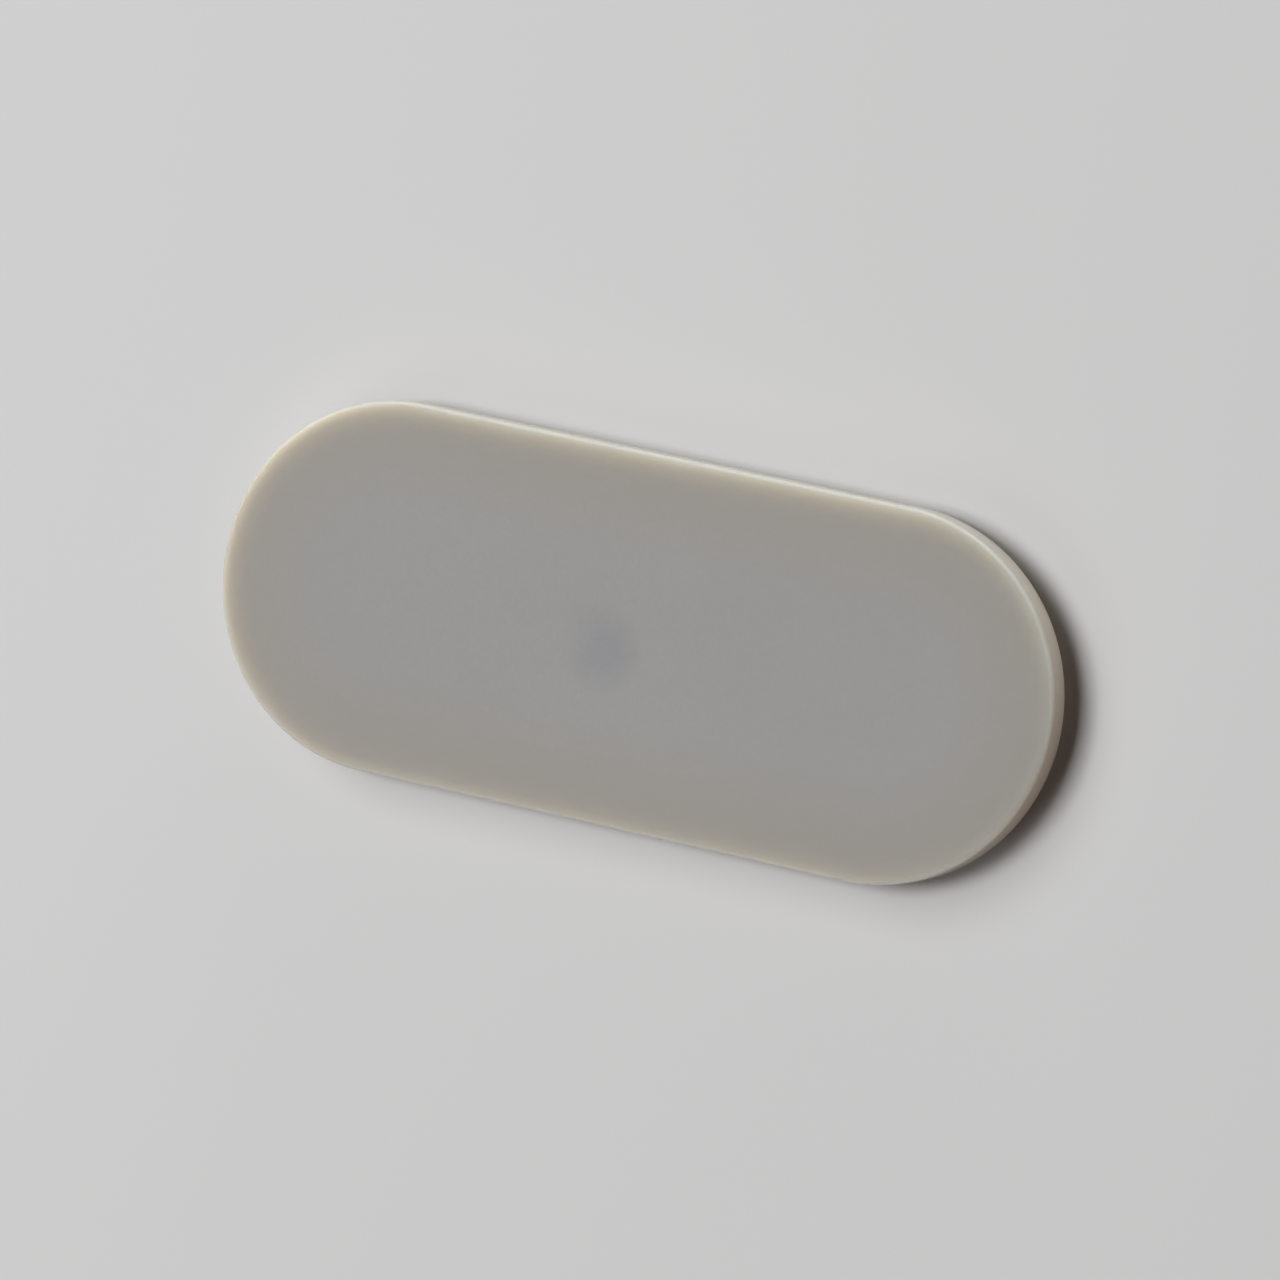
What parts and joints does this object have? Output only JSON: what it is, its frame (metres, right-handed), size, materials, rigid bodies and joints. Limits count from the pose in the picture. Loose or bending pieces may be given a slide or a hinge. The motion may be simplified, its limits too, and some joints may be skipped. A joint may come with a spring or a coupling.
{
  "type": "webcam cover slider",
  "caption": "Slim obround webcam cover: a plain moulded front plate slides along a stick-on base plate to hide or clear a round camera window.",
  "frame": {"origin": "middle of the adhesive face, under the middle of the closed cover", "axes": "+Z out of the front face, +X along the slide towards open, +Y across it"},
  "size_m": [0.034, 0.014, 0.002],
  "materials": {
    "cover_plastic": "warm grey moulded plastic, slightly translucent, fine matt texture",
    "base_plastic": "the same grey plastic, smooth satin",
    "adhesive": "die-cut double-sided foam tape, dull"
  },
  "bodies": {
    "base": {"base_plate": "base_plastic", "adhesive_pad": "adhesive"},
    "cover": {"slide_cover": "cover_plastic"}
  },
  "joints": [
    {"name": "cover_slide", "type": "slide", "parent": "base", "child": "cover", "axis": [1, 0, 0], "range_m": [0, 0.011]}
  ]
}
